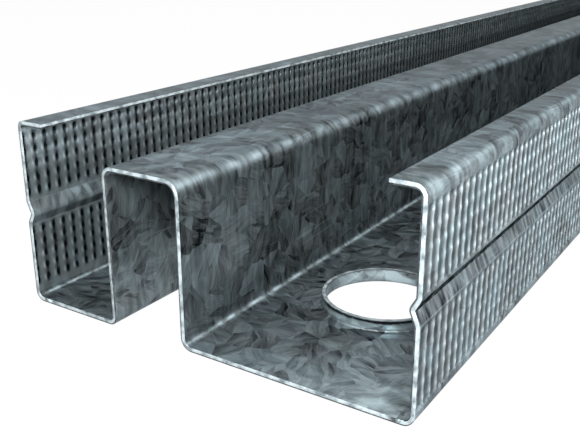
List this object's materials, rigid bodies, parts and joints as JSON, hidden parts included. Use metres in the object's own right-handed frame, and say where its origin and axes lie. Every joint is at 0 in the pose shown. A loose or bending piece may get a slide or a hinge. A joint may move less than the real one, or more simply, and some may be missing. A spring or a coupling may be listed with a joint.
{
  "type": "drywall metal stud",
  "caption": "Roll-formed galvanised acoustic wall stud: knurled, grooved flanges with lips, a resilient raised arch in the web, and collared service holes.",
  "frame": {"origin": "middle of the length and of the depth, on the underside of the webs", "axes": "+X across the webs from the lower flange to the taller one, +Y along the stud, +Z from the webs towards the lips"},
  "size_m": [0.092, 2.4, 0.0425],
  "materials": {
    "galvanised_steel": "hot-dip galvanised with spangle, knurled flanges"
  },
  "bodies": {
    "root": {"stud": "galvanised_steel"}
  },
  "joints": []
}
